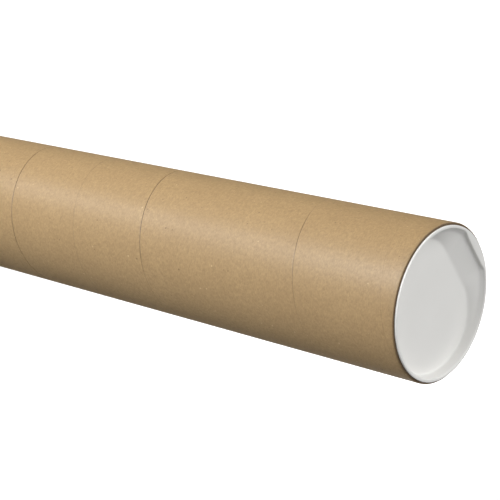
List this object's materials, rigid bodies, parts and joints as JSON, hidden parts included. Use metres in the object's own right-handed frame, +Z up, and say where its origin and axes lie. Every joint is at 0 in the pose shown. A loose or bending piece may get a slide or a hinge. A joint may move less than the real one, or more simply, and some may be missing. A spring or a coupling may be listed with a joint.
{
  "type": "cardboard mailing tube",
  "caption": "Spiral-wound brown board mailing tube, closed at each end by a push-in white plastic cap with a recessed cup and a flat pull tab.",
  "frame": {"origin": "centre of the bottom cap's outer face, on the surface that the tube stands on", "axes": "+Z up along the tube; +X towards the caps' pull tabs"},
  "size_m": [0.108, 0.1078, 0.6126],
  "materials": {
    "kraft_board": "matt brown paper with a faint sheen",
    "white_plastic": "satin moulded white"
  },
  "bodies": {
    "tube": {"tube": "kraft_board"},
    "top_cap": {"top_cap": "white_plastic"},
    "bottom_cap": {"bottom_cap": "white_plastic"}
  },
  "joints": [
    {"name": "top_cap_pull", "type": "slide", "parent": "tube", "child": "top_cap", "axis": [0, 0, 1], "range_m": [0, 0.03]},
    {"name": "bottom_cap_pull", "type": "slide", "parent": "tube", "child": "bottom_cap", "axis": [0, 0, -1], "range_m": [0, 0.03]}
  ]
}
